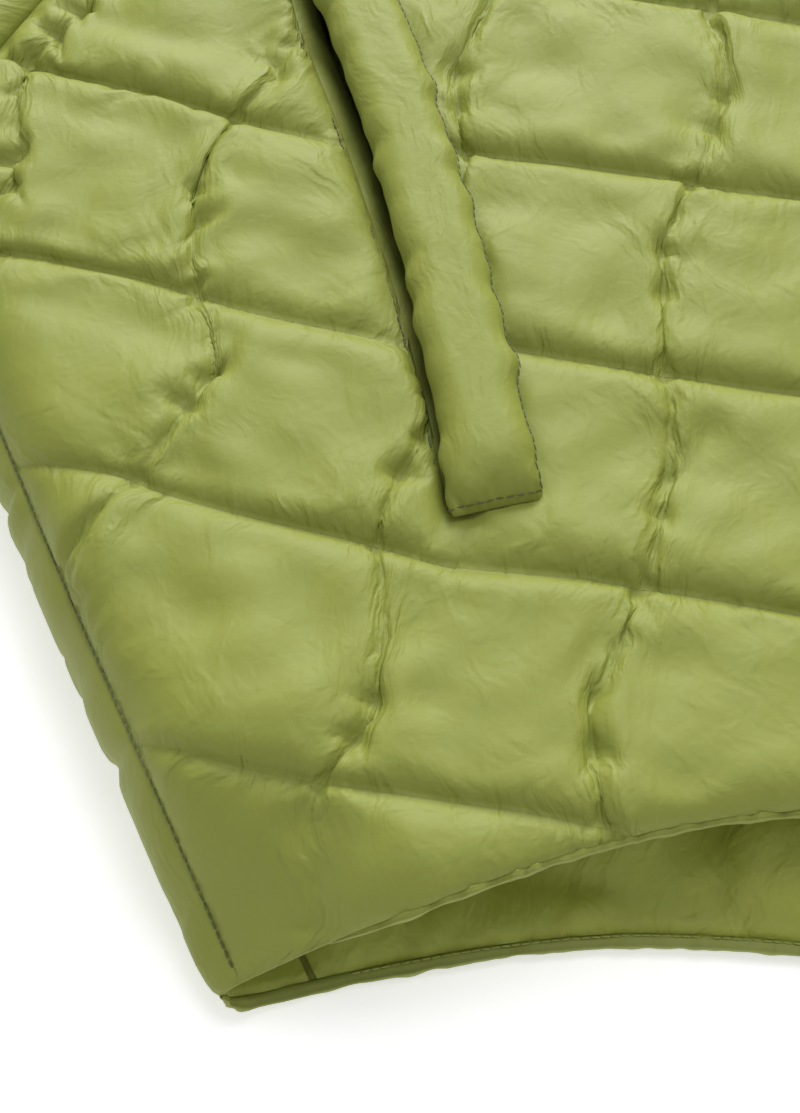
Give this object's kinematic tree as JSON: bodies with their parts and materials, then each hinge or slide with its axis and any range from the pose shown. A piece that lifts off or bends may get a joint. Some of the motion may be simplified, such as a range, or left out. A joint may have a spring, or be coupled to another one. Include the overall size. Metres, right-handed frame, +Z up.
{
  "type": "quilted down jacket",
  "caption": "Block-quilted down jacket lying open on its back, with slanted padded-welt hand pockets, stand collar, open-end zip and elastic-bound hem and cuffs.",
  "frame": {"origin": "centre of the jacket's outline, on the floor it lies on", "axes": "+Z up from the floor, +Y from hem to collar, -X the wearer's right side"},
  "size_m": [1.4608, 0.627, 0.059],
  "materials": {
    "shell_nylon": "satin down-proof nylon taffeta, olive lime",
    "lining_nylon": "satin nylon lining, same green a little darker",
    "down_fill": "loose down and feather in square chambers",
    "elastic_band": "turned and stitched edge with elastic",
    "pocket_cloth": "matt pocketing",
    "zip_tape": "woven tape",
    "zip_coil": "moulded polymer teeth",
    "zip_metal": "satin metal",
    "label_cloth": "plain woven, blank"
  },
  "bodies": {
    "torso": {"back_shell": "shell_nylon", "back_fill": "down_fill", "back_lining": "lining_nylon", "front_right_shell": "shell_nylon", "front_right_fill": "down_fill", "front_right_lining": "lining_nylon", "front_left_shell": "shell_nylon", "front_left_fill": "down_fill", "front_left_lining": "lining_nylon", "collar_shell": "shell_nylon", "collar_fill": "down_fill", "collar_lining": "lining_nylon", "pocket_bag_right": "pocket_cloth", "hem_band_right": "elastic_band", "zip_tape_right": "zip_tape", "zip_coil_right": "zip_coil", "zip_top_stop_right": "zip_metal", "pocket_bag_left": "pocket_cloth", "hem_band_left": "elastic_band", "zip_tape_left": "zip_tape", "zip_coil_left": "zip_coil", "zip_top_stop_left": "zip_metal", "hem_band_back": "elastic_band", "zip_retaining_box": "zip_metal", "zip_insertion_pin": "zip_metal", "hanger_loop": "zip_tape", "neck_label": "label_cloth"},
    "sleeve_right": {"sleeve_right_shell": "shell_nylon", "sleeve_right_fill": "down_fill", "sleeve_right_lining": "lining_nylon", "cuff_band_right": "elastic_band"},
    "sleeve_left": {"sleeve_left_shell": "shell_nylon", "sleeve_left_fill": "down_fill", "sleeve_left_lining": "lining_nylon", "cuff_band_left": "elastic_band"},
    "pocket_welt_right": {"pocket_welt_right_shell": "shell_nylon", "pocket_welt_right_fill": "down_fill"},
    "pocket_welt_left": {"pocket_welt_left_shell": "shell_nylon", "pocket_welt_left_fill": "down_fill"},
    "zip_slider": {"zip_slider": "zip_metal"},
    "zip_pull": {"zip_pull": "zip_metal"}
  },
  "joints": [
    {"name": "sleeve_right_fold", "type": "hinge", "parent": "torso", "child": "sleeve_right", "pos_m": [-0.324, 0.05416, 0.064], "axis": [0.3262, 0.9453, 0], "range_deg": [0, 175]},
    {"name": "sleeve_left_fold", "type": "hinge", "parent": "torso", "child": "sleeve_left", "pos_m": [0.324, 0.05416, 0.064], "axis": [0.3262, -0.9453, 0], "range_deg": [0, 175]},
    {"name": "pocket_welt_right_lift", "type": "hinge", "parent": "torso", "child": "pocket_welt_right", "pos_m": [-0.1846, -0.17854, 0.0505], "axis": [-0.4003, 0.9164, 0], "range_deg": [0, 50]},
    {"name": "pocket_welt_left_lift", "type": "hinge", "parent": "torso", "child": "pocket_welt_left", "pos_m": [0.1846, -0.17854, 0.0505], "axis": [-0.4003, -0.9164, 0], "range_deg": [0, 50]},
    {"name": "zip_slide", "type": "slide", "parent": "torso", "child": "zip_slider", "axis": [0, 1, 0], "range_m": [0, 0.46]},
    {"name": "zip_pull_flip", "type": "hinge", "parent": "zip_slider", "child": "zip_pull", "pos_m": [0.0171, -0.22456, 0.05063], "axis": [-1, 0, 0], "range_deg": [0, 175]}
  ]
}
